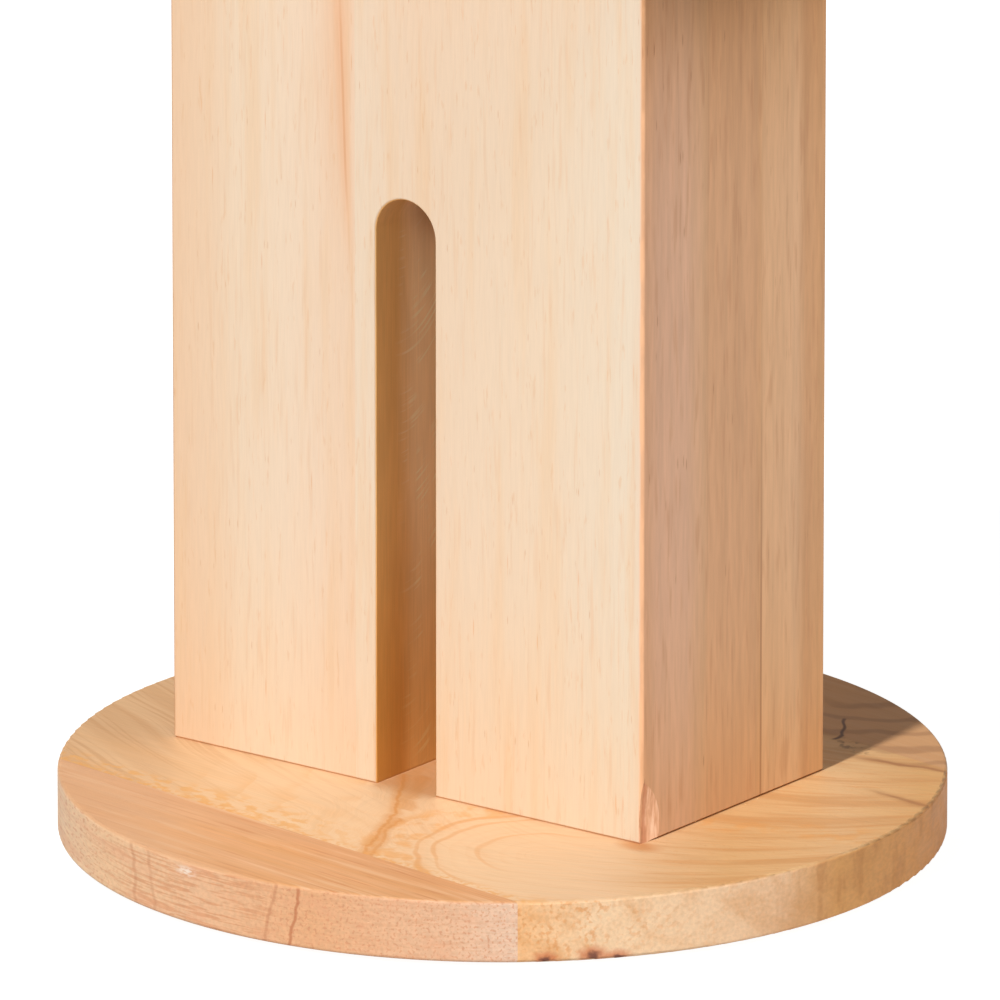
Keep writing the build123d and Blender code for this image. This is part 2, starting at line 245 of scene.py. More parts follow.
    def mix_value(self, factor, a, b):
        node = self.add("ShaderNodeMix", data_type="FLOAT")
        self.feed(node.inputs[0], factor)
        self.feed(node.inputs[2], a)
        self.feed(node.inputs[3], b)
        return node.outputs[0]

    def ramp(self, value, stops):
        node = self.add("ShaderNodeValToRGB")
        points = node.color_ramp.elements
        while len(points) < len(stops):
            points.new(0.5)
        for point, (place, colour) in zip(points, stops):
            point.position = place
        for point, (place, colour) in zip(points, stops):
            point.color = colour
        self.feed(node.inputs[0], value)
        return node.outputs[0]

    def tint(self, colour, mask, strength, rgb, light=(1.0, 1.0, 1.0)):
        """Lay a tone over colour where mask is 1, by a share given by strength."""
        return self.mix(self.times(mask, strength), colour, tone(*rgb, light))

    def scale(self, value, low, high):
        """value as a share of the way from low to high."""
        return self.math("MULTIPLY_ADD", value, 1 / (high - low), -low / (high - low), clamp=True)

    def strengthen(self, colour, amount):
        """Multiply a colour by a grey amount."""
        node = self.add("ShaderNodeVectorMath", operation="SCALE")
        self.feed(node.inputs[0], colour)
        self.feed(node.inputs["Scale"], amount)
        return node.outputs[0]

    def finish(self, colour, roughness, height=None, depth=0.00008, **constants):
        shader = self.add("ShaderNodeBsdfPrincipled")
        self.feed(shader.inputs["Base Color"], colour)
        self.feed(shader.inputs["Roughness"], roughness)
        for key, value in constants.items():
            shader.inputs[key.replace("_", " ")].default_value = value
        if height is not None:
            bump = self.add("ShaderNodeBump")
            bump.inputs["Strength"].default_value = 1.0
            bump.inputs["Distance"].default_value = depth
            self.feed(bump.inputs["Height"], height)
            self.tree.links.new(bump.outputs[0], shader.inputs["Normal"])
        output = self.add("ShaderNodeOutputMaterial")
        self.tree.links.new(shader.outputs[0], output.inputs[0])
        return self.material


class Wood(Graph):
    """A board's own axes: u along the grain, v across it on the broad face, w through the thickness."""

    def __init__(self, name, seed, turn=None, middle=(0.0, 0.0)):
        super().__init__(name)
        self.seed = seed
        if turn is None:
            self.u, self.v, self.w = self.z, self.x, self.y
        else:
            c, s = math.cos(turn), math.sin(turn)
            mx, my = middle
            self.u = self.direction(c, s, 0, -(c * mx + s * my))
            self.v = self.direction(-s, c, 0, s * mx - c * my)
            self.w = self.z

    def drawn_out(self, length, width):
        """The board's axes in units of length along the grain and width across it."""
        return self.times(self.u, 1 / length), self.times(self.v, 1 / width), self.times(self.w, 1 / width)

    def grain(self, length, width, detail=2.0, shift=0.0):
        """Noise drawn out along the grain."""
        u, v, w = self.drawn_out(length, width)
        u = self.plus(u, self.seed + shift)
        w = self.plus(w, self.seed * 0.37 + shift)
        return self.noise(u, v, w, detail=detail)

    def pores(self, length, width, size, share, shift=0.0):
        """Open vessels: short dashes on long grain, dots on end grain. share of the cells have one."""
        u, v, w = self.drawn_out(length, width)
        distance, chance = self.cells(self.plus(u, self.seed + shift), v, w)
        chosen = self.step(chance, share + 0.06, share - 0.06)
        return self.times(self.step(distance, size, size * 0.4), chosen)

    def saw(self, field, spacing, wander):
        """Growth rings on a distance field: pale early wood that darkens to a sharp late-wood line."""
        phase = self.math("FRACT", self.plus(self.times(field, 1 / spacing), wander))
        return self.times(self.step(phase, 0.35, 0.93), self.step(phase, 1.0, 0.95))


# ---------------------------------------------------------------- column

# How strongly each face is lit, as red, green and blue shares of a white screen.
FRONT_LIGHT = (1.22, 1.19, 1.19)
SIDE_LIGHT = (0.835, 0.855, 0.90)
SLOT_LIGHT = (0.62, 0.62, 0.62)
CHIP_LIGHT = (0.95, 0.95, 0.95)


def column_stave(name, seed, face_stops, marks):
    """Pale upright stave. face_stops gives its broad face's colours from its left to its right edge."""
    g = Wood(name, seed)
    low, high = map(millimetres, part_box(name))
    drift = g.math("MULTIPLY_ADD", g.grain(60, 9, 2, 3.1), 7.0, -3.5)
    face = g.ramp(g.scale(g.plus(g.x, drift), low[0], high[0]), face_stops)

    fine = g.grain(6.5, 0.36, 3)
    fibre = g.grain(16, 0.9, 2, 7.9)
    broad = g.grain(60, 3.6, 2, 5.3)
    cloud = g.noise(g.times(g.u, 1 / 24), g.times(g.v, 1 / 8), g.plus(g.times(g.w, 1 / 8), seed))
    flecks = g.pores(5.0, 0.62, 0.24, 0.055, 1.7)
    dashes = g.pores(15.0, 1.1, 0.17, 0.09, 8.2)
    ticks = g.step(g.grain(5.0, 0.75, 2, 4.6), 0.62, 0.74)
    face = g.mix(g.step(broad, 0.48, 0.74, 0, 0.40), face, tone(245, 203, 160, FRONT_LIGHT))
    face = g.mix(g.step(cloud, 0.54, 0.78, 0, 0.25), face, tone(248, 212, 178, FRONT_LIGHT))
    face = g.mix(g.step(fibre, 0.54, 0.74, 0, 0.38), face, tone(240, 196, 156, FRONT_LIGHT))
    face = g.tint(face, ticks, 0.42, (238, 190, 146), FRONT_LIGHT)
    face = g.tint(face, flecks, 0.45, (216, 152, 100), FRONT_LIGHT)
    face = g.tint(face, dashes, 0.50, (236, 172, 118), FRONT_LIGHT)
    if marks:
        face = marks(g, face)
    face = g.strengthen(face, g.step(fine, 0.25, 0.75, 0.975, 1.018))
    # Painted warm light: the face is tinted warmer towards its foot, standing in for light bounced off the
    # orange base.
    face = g.mix(g.step(g.z, 75.0, 20.0), face, (1.0, 0.975, 0.93, 1.0), "MULTIPLY")

    side = column_side(g)
    edge = g.step(g.math("ABSOLUTE", g.minus(g.x, COLUMN_X)), HALF_WIDTH - 0.75, HALF_WIDTH - 0.3)
    colour = g.mix(edge, face, side)
    colour = g.mix(slot_mask(g), colour, slot_wall(g))
    # Painted shade: a thin dark line along the foot, where the column meets the base.
    foot = g.step(g.z, BASE_TOP + 0.55, BASE_TOP + 0.1)
    colour = g.tint(colour, foot, 0.75, (190, 128, 72))
    if name == "column_front_stave_right":
        colour = chip(g, colour)
        colour = arris(g, colour)

    height = g.blend3(fine, 0.5, flecks, -0.6)
    roughness = g.step(broad, 0.3, 0.7, 0.50, 0.58)
    return g.finish(colour, roughness, height, 0.00004, Specular_IOR_Level=0.35)


def column_side(g):
    """The layered edge: pinkish with dark pores in front, yellower in the middle, paler behind."""
    depth = g.plus(g.y, g.math("MULTIPLY_ADD", g.grain(70, 6, 2, 8.8), 3.0, -1.5))
    start, end = -26.0, 35.5
    tones = (
        (-25.8, (196, 150, 117)),
        (-20.5, (200, 158, 131)),
        (-11.5, (201, 160, 133)),
        (-5.0, (197, 155, 121)),
        (-3.5, (198, 153, 118)),
        (12.0, (196, 151, 115)),
        (13.6, (196, 151, 113)),
        (14.2, (204, 161, 124)),
        (26.0, (204, 163, 128)),
        (29.0, (194, 148, 110)),
        (35.4, (197, 150, 109)),
    )
    colour = g.ramp(
        g.scale(depth, start, end),
        [((y - start) / (end - start), tone(*rgb, SIDE_LIGHT)) for y, rgb in tones],
    )
    fine = g.grain(9, 0.75, 3, 2.2)
    broad = g.grain(70, 2.6, 2, 6.1)
    soft = g.step(g.grain(13, 1.2, 2, 3.3), 0.54, 0.72)
    colour = g.strengthen(colour, g.step(fine, 0.25, 0.75, 0.945, 1.04))
    colour = g.strengthen(colour, g.step(broad, 0.3, 0.7, 0.95, 1.04))
    colour = g.tint(colour, soft, 0.37, (176, 126, 92), SIDE_LIGHT)
    dashes = g.pores(8.0, 0.95, 0.22, 0.16, 4.4)
    front_layer = g.step(g.y, 18.0, -8.0, 0.25, 0.60)
    colour = g.tint(colour, dashes, front_layer, (152, 106, 74), SIDE_LIGHT)
    low = g.step(g.z, 120.0, 45.0, 0.12, 1.0)
    joint = g.times(g.near(g.y, REAR_LOW[1], 0.12, 0.5), low)
    joint = g.top(joint, g.times(g.near(g.y, FRONT_HIGH[1], 0.05, 0.3), 0.15))
    colour = g.tint(colour, joint, 0.6, (140, 92, 58), SIDE_LIGHT)
    # Painted shade: the side is darkened and warmed towards its top, standing in for the shade under the
    # plate's overhang.
    colour = g.mix(g.step(g.z, 135.0, 195.0), colour, (0.92, 0.84, 0.71, 1.0), "MULTIPLY")
    colour = g.mix(g.step(g.z, 168.0, 190.0), colour, (0.90, 0.86, 0.76, 1.0), "MULTIPLY")
    # Painted warm light: the side is tinted warmer towards its foot, standing in for light bounced off the
    # base.
    return g.mix(g.step(g.z, 75.0, 15.0), colour, (1.0, 0.99, 0.90, 1.0), "MULTIPLY")


def slot_mask(g):
    """1 on the slot's walls and under its arch."""
    rise = g.top(g.minus(g.z, SLOT_SPRINGING), 0.0)
    across = g.minus(g.x, COLUMN_X)
    reach = g.hypot(across, rise)
    return g.step(reach, SLOT_RADIUS + 0.3, SLOT_RADIUS + 0.05)


def slot_wall(g):
    """Yellow-brown at the mouth, rosier deeper in, with pale curved saw marks."""
    deep = g.step(g.plus(g.y, g.times(g.grain(40, 5, 2, 1.3), 5.0)), -17.0, -9.0)
    colour = g.mix(deep, tone(184, 142, 84, SLOT_LIGHT), tone(203, 176, 134, SLOT_LIGHT))
    fine = g.grain(14, 0.5, 3, 9.4)
    patch = g.noise(g.times(g.y, 0.18), g.times(g.z, 0.05), 8.0)
    colour = g.strengthen(colour, g.step(fine, 0.25, 0.75, 0.94, 1.04))
    colour = g.strengthen(colour, g.step(patch, 0.35, 0.65, 0.97, 1.04))
    bow = g.plus(g.z, g.times(g.square(g.plus(g.y, 12.0)), -0.045))
    scratches = g.noise(g.times(g.y, 0.06), g.times(g.plus(bow, g.times(g.y, -0.45)), 1.1), 3.0, detail=1.0)
    patchy = g.noise(g.times(g.y, 0.16), g.times(g.z, 0.07), 3.0)
    mark = g.times(g.step(scratches, 0.55, 0.63), g.step(patchy, 0.45, 0.6))
    colour = g.tint(colour, g.times(mark, deep), 0.60, (226, 200, 166), SLOT_LIGHT)
    # Painted shadow: the wall is darkened just under the arch, where the arch shades it.
    painted_arch_shadow = g.times(g.step(g.z, 116.0, 134.0), g.step(g.y, -18.0, -9.0))
    colour = g.tint(colour, painted_arch_shadow, 0.55, (150, 106, 66), SLOT_LIGHT)
    colour = g.mix(1.0, colour, (0.94, 0.90, 0.92, 1.0), "MULTIPLY")
    # Painted shade and warm bounce light: the wall gets darker and warmer towards the slot's foot.
    return g.mix(g.step(g.z, 78.0, 18.0), colour, (0.90, 0.78, 0.50, 1.0), "MULTIPLY")


def chip(g, colour):
    """Torn wood where a flake has come off the foot of the arris."""
    reach = g.math("SQRT", g.blend3(
        g.square(g.minus(g.x, CHIP_CENTRE[0])), 1.0,
        g.plus(g.square(g.minus(g.y, CHIP_CENTRE[1])), g.square(g.minus(g.z, CHIP_CENTRE[2]))), 1.0))
    torn = g.near(reach, CHIP_RADIUS, 0.02, 0.07)
    torn = g.times(torn, g.step(g.y, FRONT_FACE + 8.0, FRONT_FACE + 7.0))
    wander = g.noise(g.times(g.z, 0.35), 1.0, 2.0, detail=2.0)
    across = g.minus(g.plus(g.y, g.math("MULTIPLY_ADD", wander, 1.6, -0.8)), FRONT_FACE)
    ridges = g.noise(g.times(g.x, 1.6), g.times(g.y, 1.3), g.times(g.z, 0.16), detail=3.0, distortion=0.6)
    bare = g.ramp(ridges, [
        (0.28, tone(204, 148, 112, CHIP_LIGHT)),
        (0.50, tone(230, 182, 146, CHIP_LIGHT)),
        (0.68, tone(246, 210, 180, CHIP_LIGHT)),
    ])
    # Painted shade: a darker strip on the step just behind the front face, with a darker line along its
    # lip.
    painted_step_shade = g.times(g.step(across, 0.5, 0.8), g.step(across, 2.3, 1.5))
    bare = g.tint(bare, painted_step_shade, 0.75, (196, 132, 96), CHIP_LIGHT)
    colour = g.mix(torn, colour, bare)
    edge = g.times(g.near(across, 0.5, 0.1, 0.5), g.times(torn, 0.7))
    return g.mix(edge, colour, tone(150, 88, 56, CHIP_LIGHT))


def arris(g, colour):
    """A warm, lighter line down the near corner: a painted highlight on the rounded arris, patchy along its
    length.
    """
    corner = g.top(g.minus(RIGHT_FACE - 0.8, g.x), g.minus(g.y, FRONT_FACE + 0.8))
    arris_highlight = g.step(corner, 0.15, -0.25)
    broken = g.step(g.noise(g.times(g.z, 0.11), g.times(g.x, 0.4), 4.0, detail=3.0), 0.40, 0.62, 0.25, 0.8)
    return g.tint(colour, arris_highlight, broken, (238, 182, 138))


def left_stave_marks(g, face):
    """The orange streak and its thin line at the stave's right-hand edge, strongest at the top."""
    sway = g.waver(1.0, g.times(g.z, 0.03), 2.0, 5.0)
    x = g.plus(g.x, sway)
    high = g.step(g.z, 108.0, 165.0)
    streak = g.times(g.step(x, -28.5, -22.5), g.step(x, -17.6, -19.6))
    face = g.tint(face, streak, g.math("MULTIPLY_ADD", high, 0.42, 0.0), (245, 192, 150), FRONT_LIGHT)
    line = g.stroke(g.z, x, (136.0, -19.6), (174.0, -21.2), 0.45, 9.0)
    halo = g.stroke(g.z, x, (130.0, -19.4), (187.0, -22.2), 2.2, 16.0)
    face = g.tint(face, halo, 0.40, (243, 180, 132), FRONT_LIGHT)
    return g.tint(face, line, 0.44, (226, 152, 100), FRONT_LIGHT)


def stops(*pairs):
    """Colour stops across a stave's broad face."""
    return [(place, tone(*rgb, FRONT_LIGHT)) for place, rgb in pairs]


LEFT_FACE_TONES = stops(
    (0.00, (245, 205, 169)), (0.22, (246, 211, 178)), (0.36, (247, 219, 190)), (0.62, (248, 220, 192)),
    (0.78, (248, 218, 190)), (0.90, (247, 214, 184)), (1.00, (247, 213, 183)),
)
RIGHT_FACE_TONES = stops(
    (0.00, (245, 219, 192)), (0.10, (245, 217, 189)), (0.22, (245, 214, 184)), (0.40, (245, 216, 187)),
    (0.66, (245, 217, 188)), (0.80, (244, 219, 192)), (0.95, (243, 221, 196)), (1.00, (243, 216, 190)),
)
PLAIN_TONES = stops(
    (0.00, (245, 212, 180)), (0.35, (245, 216, 187)), (0.70, (244, 210, 176)), (1.00, (245, 217, 189)),
)
# Each stave's seed, face tones and marks.
STAVES = {
    "column_front_stave_left": (0.9, LEFT_FACE_TONES, left_stave_marks),
    "column_front_stave_right": (3.4, RIGHT_FACE_TONES, None),
    "column_middle_stave_left": (5.1, PLAIN_TONES, None),
    "column_middle_stave_right": (7.7, PLAIN_TONES, None),
    "column_rear_stave_left": (9.2, PLAIN_TONES, None),
    "column_rear_stave_right": (11.6, PLAIN_TONES, None),
}


# ---------------------------------------------------------------- base

TOP_LIGHT = (1.17, 1.17, 1.17)
RIM_LIGHT = (1.02, 1.02, 1.02)

# Marks on the base, in millimetres, placed from the photograph.
# Growth rings: distance from the arches' middle line, half width and strength.
GROWTH_RINGS = ((3.0, 0.6, 0.14), (12.7, 0.8, 0.34), (22.4, 0.8, 0.40), (26.2, 1.0, 0.52))
# The orange vein before the slot, as (y, x) points: its trunk, the branch beside it and their shade.
TRUNK = (
    (-67.0, 14.6), (-60.0, 11.2), (-55.0, 9.6), (-48.0, 5.8), (-39.3, 2.8), (-32.9, -1.7), (-17.4, -11.6),
)
BRANCH = ((-67.0, 17.0), (-62.5, 14.2), (-55.7, 11.9), (-48.3, 7.4), (-41.0, 5.6))
SHADE = ((-36.0, 3.2), (-30.0, -0.8), (-16.0, -7.4))
# Each pass over the vein: its path, half width and strength.
VEIN_PASSES = (
    (TRUNK, 2.8, 0.42), (SHADE, 2.8, 0.46), (BRANCH, 2.0, 0.40), (TRUNK, 0.75, 0.68), (BRANCH, 0.65, 0.55),
)
# Brown veins at the right-hand edge: start, end, half width and strength.
BROWN_VEINS = (
    ((54.0, 46.4), (78.0, 50.6), 1.3, 0.30),
    ((56.0, 46.8), (78.0, 50.2), 0.55, 0.75),
    ((70.0, 30.4), (88.0, 28.4), 1.2, 0.25),
    ((72.0, 30.0), (88.0, 28.8), 0.5, 0.55),
)
# The short crack, as (y, x) starts and ends with half widths.
CRACK = (((53.4, 43.8), (57.0, 43.6), 0.5), ((56.6, 43.8), (66.0, 37.5), 0.42))
STAIN = (54.5, -27.0)
# On the rim: small knots as (place, height, size), upright lines as (foot, head, strength), a white spot.
KNOTS = ((8.6, 1.6, 2.4), (18.0, 2.0, 2.8), (23.0, 1.2, 2.4))
UPRIGHT_LINES = ((-73.3, -74.1, 0.28), (-69.6, -70.9, 0.22), (-47.6, -45.0, 0.34), (-42.5, -40.3, 0.65))
SPOT = (-63.2, 11.8)


def rim_mask(g):
    """1 on the base's rim, up to its rounded top edge."""
    reach = g.hypot(g.x, g.y)
    outside = g.step(reach, BASE_RADIUS - 0.75, BASE_RADIUS - 0.25)
    return g.times(outside, g.step(g.z, BASE_TOP - 0.1, BASE_TOP - 0.6))


def arched_field(g):
    """Distance from a line through the board's right half: nested arches that open to the right."""
    wobble_s = g.waver(9.0, g.times(g.u, 0.05), g.times(g.v, 0.05), 1.0)
    wobble_t = g.waver(7.0, g.times(g.u, 0.045), g.times(g.v, 0.06), 7.0)
    c, s = math.cos(math.radians(27.0)), math.sin(math.radians(27.0))
    along = g.plus(g.blend3(g.u, c, g.v, s, -26.0), wobble_s)
    across = g.plus(g.blend3(g.u, -s, g.v, c, 54.0), wobble_t)
    across = g.plus(across, g.times(g.minus(BASE_TOP, g.z), 0.9))
    before = g.math("MINIMUM", along, 0.0)
    field = g.hypot(before, across)
    return field, along, across


def base_middle():
    g = Wood("base_board_middle", 2.7, BASE_GRAIN)
    field, along, across = arched_field(g)
    turned = g.direction(*RIM_COURSE)
    right = g.step(g.plus(g.u, g.times(g.grain(30, 12, 2, 4.0), 14.0)), 0.0, 30.0)

    cream = tone(249, 211, 168, TOP_LIGHT)
    lean = g.blend3(g.u, 0.30, g.v, 0.95, g.times(g.grain(55, 24, 1, 3.0), 8.0))

    # left half: straight stripes, greyer towards the edge
    stripes = g.step(g.grain(150, 5.0, 2, 0.6), 0.42, 0.68, 0, 0.55)
    left = g.mix(stripes, cream, tone(246, 200, 150, TOP_LIGHT))
    outer = g.step(g.u, -20.0, -70.0, 0.10, 1.0)
    left = g.tint(left, outer, 0.70, (236, 188, 136), TOP_LIGHT)
    threads = g.step(g.noise(g.times(g.u, 0.012), g.times(lean, 0.75), 3.0, detail=2.0), 0.50, 0.64)
    left = g.tint(left, threads, g.math("MULTIPLY_ADD", outer, 0.36, 0.08), (208, 154, 102), TOP_LIGHT)
    shades = g.step(g.noise(g.times(g.u, 0.010), g.times(lean, 0.17), 8.0, detail=1.0), 0.48, 0.62)
    left = g.tint(left, shades, g.times(outer, 0.40), (220, 168, 116), TOP_LIGHT)
    speckle = g.step(g.noise(g.times(g.u, 0.26), g.times(g.v, 0.40), 4.0, detail=4.0), 0.46, 0.60)
    by_glue = g.near(g.v, -60.0, 3.0, g.step(g.u, -50.0, -10.0, 6.0, 13.0))
    left = g.tint(left, g.times(speckle, by_glue), 0.80, (243, 182, 110), TOP_LIGHT)
    bend = g.waver(16.0, g.times(g.x, 0.05), g.times(g.y, 0.05), 11.0, detail=2.0)
    tips = g.plus(g.plus(g.times(g.x, 0.89), g.times(g.y, 0.46)), bend)
    tips = g.saw(tips, 11.0, 0.3)
    inner = g.times(g.step(g.u, -48.0, -30.0), g.step(g.u, 22.0, 8.0))
    uneven = g.step(g.noise(g.times(g.u, 0.10), g.times(g.v, 0.10), 14.0, detail=1.0), 0.38, 0.62)
    left = g.tint(left, g.times(tips, uneven), g.times(inner, 0.36), (238, 180, 116), TOP_LIGHT)

    # right half: nested arches, warmer and browner to the right, partly the board's own colour and partly
    # painted dimmer, warmer light beside the column's right-hand face
    body = g.ramp(g.scale(turned, -10.0, 90.0), [
        (0.00, tone(248, 209, 166, TOP_LIGHT)), (0.30, tone(244, 203, 160, TOP_LIGHT)),
        (0.55, tone(235, 187, 130, TOP_LIGHT)), (0.78, tone(239, 194, 140, TOP_LIGHT)),
        (0.95, tone(229, 178, 116, TOP_LIGHT)),
    ])
    faint = g.saw(field, 3.4, g.times(g.noise(g.times(g.u, 0.02), g.times(g.v, 0.02), 3.0), 0.8))
    body = g.tint(body, faint, 0.08, (238, 172, 108), TOP_LIGHT)
    for distance, half, strength in GROWTH_RINGS:
        line = ring_line(g, field, distance, half)
        line = g.times(line, g.step(g.x, 50.0, 34.0))
        body = g.tint(body, line, strength, (230, 154, 76), TOP_LIGHT)
    blotch = g.step(g.noise(g.times(g.u, 0.20), g.times(g.v, 0.20), 5.0, detail=3.0), 0.44, 0.64)
    blotch = g.times(blotch, g.near(field, 31.0, 2.5, 8.0))
    body = g.tint(body, blotch, 0.62, (242, 176, 104), TOP_LIGHT)

    # broad curved bands right of the column
    sweep = g.plus(g.y, g.times(g.square(g.minus(g.x, 42.0)), -0.012))
    bands = g.noise(g.times(g.x, 0.022), g.times(sweep, 0.17), 6.0, detail=3.0, distortion=0.5)
    strength = g.step(turned, 14.0, 50.0, 0.0, 0.55)
    body = g.tint(body, g.step(bands, 0.45, 0.66), strength, (214, 152, 92), TOP_LIGHT)
    grit = g.step(g.noise(g.times(g.x, 0.7), g.times(g.y, 0.9), 5.0, detail=2.0), 0.58, 0.72)
    body = g.tint(body, grit, g.step(turned, 10.0, 45.0, 0.05, 0.28), (226, 160, 96), TOP_LIGHT)
    drawn = g.step(g.noise(g.times(g.x, 0.05), g.times(sweep, 0.60), 2.0, detail=3.0), 0.52, 0.68)
    body = g.tint(body, drawn, g.step(turned, 6.0, 40.0, 0.14, 0.50), (226, 160, 98), TOP_LIGHT)
    colour = g.mix(g.top(right, g.step(field, 40.0, 34.0)), left, body)
    sway = g.waver(2.4, g.times(g.y, 0.35), g.times(g.x, 0.10), 5.0, detail=2.0)
    bent = g.plus(g.x, sway)
    for path, half, strength in VEIN_PASSES:
        vein = g.trail(g.y, bent, path, half)
        colour = g.tint(colour, vein, strength, (226, 154, 82), TOP_LIGHT)
    # Painted shade: the base top is darkened and warmed inside the slot's mouth, where the slot shades it.
    within = g.times(g.near(g.x, COLUMN_X, 6.5, 9.0), g.step(g.y, FRONT_FACE - 4.0, FRONT_FACE + 2.0))
    colour = g.tint(colour, within, 0.62, (214, 146, 82), TOP_LIGHT)

    lengthwise = g.mix_value(right, g.times(g.u, 0.06), g.times(along, 0.06))
    crosswise = g.mix_value(right, g.times(g.v, 1.9), g.times(across, 1.9))
    fine = g.noise(lengthwise, crosswise, g.times(g.w, 1.9), detail=3.0)
    colour = g.strengthen(colour, g.step(fine, 0.25, 0.75, 0.96, 1.03))

    for start, end, half, strength in BROWN_VEINS:
        bend = g.waver(3.0, g.times(g.x, 0.12), g.times(g.y, 0.12), 9.0, detail=2.0)
        vein = g.stroke(g.x, g.plus(g.y, bend), start, end, half * 2.0, 5.0)
        colour = g.tint(colour, vein, strength, (170, 112, 66), TOP_LIGHT)
    colour = swirl(g, colour)
    stain = g.step(g.math("SQRT", g.plus(
        g.times(g.square(g.minus(g.x, STAIN[0])), 0.35), g.square(g.minus(g.y, STAIN[1])))), 4.0, 0.8)
    colour = g.tint(colour, stain, 0.65, (214, 134, 66), TOP_LIGHT)
    glue = g.near(g.v, -BASE_GLUE_LINE, 0.2, 3.6)
    dots = g.step(g.noise(g.times(g.u, 0.7), g.times(g.v, 0.7), 1.0, detail=2.0), 0.45, 0.65)
    colour = g.tint(colour, g.times(glue, dots), 0.75, (241, 174, 100), TOP_LIGHT)

    edge = rim_mask(g)
    colour = g.mix(edge, colour, rim_middle(g, field))
    return board_finish(g, colour, fine)


def ring_line(g, field, distance, half):
    """A growth ring of uneven width and strength."""
    uneven = g.noise(g.times(g.u, 0.09), g.times(g.v, 0.09), distance, detail=1.0)
    width = g.step(uneven, 0.25, 0.75, half * 0.6, half * 1.6)
    off = g.math("DIVIDE", g.math("ABSOLUTE", g.minus(field, distance)), width)
    return g.times(g.step(off, 1.0, 0.2), g.step(uneven, 0.2, 0.5, 0.4, 1.0))


def swirl(g, colour):
    """Dark bands, smudges and a short crack behind the column on the right."""
    bend = g.waver(14.0, g.times(g.x, 0.06), g.times(g.y, 0.06), 4.0, detail=2.0)
    reach = g.math("SQRT", g.plus(g.square(g.minus(g.x, 30.0)), g.square(g.minus(g.y, 88.0))))
    bands = g.math("SINE", g.times(g.plus(reach, bend), 0.62))
    behind = g.times(g.step(g.y, 44.0, 56.0), g.step(g.x, 22.0, 36.0))
    colour = g.tint(colour, behind, 0.35, (206, 156, 110), TOP_LIGHT)
    colour = g.tint(colour, g.step(bands, 0.15, 0.95), g.times(behind, 0.42), (160, 112, 76), TOP_LIGHT)
    for start, end, half in CRACK:
        bent = g.plus(g.x, g.times(g.math("SINE", g.times(g.y, 1.0)), 0.28))
        crack = g.stroke(g.y, bent, start, end, half * 1.6, 0.6)
        colour = g.tint(colour, crack, 0.85, (96, 62, 46), TOP_LIGHT)
    smudge = g.step(g.noise(g.times(g.x, 0.5), g.times(g.y, 0.5), 2.0, detail=2.0), 0.50, 0.64)
    smudge = g.times(smudge, g.near(g.plus(g.y, g.times(g.x, 0.3)), 67.0, 1.0, 3.5))
    return g.tint(colour, g.times(smudge, g.near(g.x, 50.0, 3.0, 7.0)), 0.6, (110, 76, 56), TOP_LIGHT)


def rim_middle(g, field):
    """Cut edge of the middle board: pale with orange specks in front, darker and swirled to the right."""
    turned = g.direction(*RIM_COURSE)
    colour = g.ramp(g.scale(turned, -90.0, 90.0), [
        (0.00, tone(232, 190, 150, RIM_LIGHT)), (0.52, tone(243, 190, 136, RIM_LIGHT)),
        (0.60, tone(247, 210, 168, RIM_LIGHT)), (0.72, tone(250, 210, 168, RIM_LIGHT)),
        (0.81, tone(250, 204, 160, RIM_LIGHT)), (0.87, tone(246, 184, 112, RIM_LIGHT)),
        (1.00, tone(226, 150, 78, RIM_LIGHT)),
    ])
    rings = g.saw(field, 7.5, g.noise(g.times(g.x, 0.04), g.times(g.y, 0.04), 2.0))
    colour = g.tint(colour, rings, 0.10, (218, 150, 84), RIM_LIGHT)
    specks = g.step(g.noise(g.times(turned, 0.8), 3.0, g.times(g.z, 0.8), detail=3.0), 0.48, 0.63)
    clumps = g.step(g.noise(g.times(turned, 0.16), 9.0, g.times(g.z, 0.20)), 0.36, 0.62, 0.15, 0.70)
    specks = g.times(g.times(specks, clumps), g.step(turned, 40.0, 8.0, 0.30, 1.0))
    colour = g.mix(specks, colour, tone(226, 150, 82, RIM_LIGHT))
    flame = g.plus(g.times(turned, 0.11), g.times(g.z, 0.07))
    flame = g.noise(flame, 2.0, g.times(g.z, 0.11), detail=3.0, distortion=0.9)
    strength = g.step(turned, 10.0, 34.0, 0.52, 0.34)
    colour = g.tint(colour, g.step(flame, 0.40, 0.68), strength, (222, 156, 92), RIM_LIGHT)
    upright = g.step(g.noise(g.times(turned, 0.40), 5.0, g.times(g.z, 0.10), detail=3.0), 0.48, 0.64)
    colour = g.tint(colour, upright, g.step(turned, 46.0, 66.0, 0, 0.40), (200, 132, 70), RIM_LIGHT)
    grain = g.noise(g.times(turned, 1.3), 8.0, g.times(g.z, 1.3), detail=2.0)
    colour = g.strengthen(colour, g.step(grain, 0.3, 0.7, 0.95, 1.06))
    brown = g.near(g.plus(turned, g.times(g.z, -0.5)), 62.0, 3.0, 12.0)
    colour = g.tint(colour, brown, 0.28, (198, 132, 72), RIM_LIGHT)
    for place, height, size in KNOTS:
        dx, dz = g.minus(turned, place), g.times(g.minus(g.z, height), 1.5)
        reach = g.hypot(dx, dz)
        reach = g.plus(reach, g.waver(2.0, g.times(turned, 0.8), 1.0, g.times(g.z, 0.8)))
        colour = g.tint(colour, g.step(reach, size * 1.5, size * 0.5), 0.7, (206, 110, 62), RIM_LIGHT)
        colour = g.tint(colour, g.step(reach, size * 0.7, size * 0.2), 0.85, (104, 58, 48), RIM_LIGHT)
    return colour


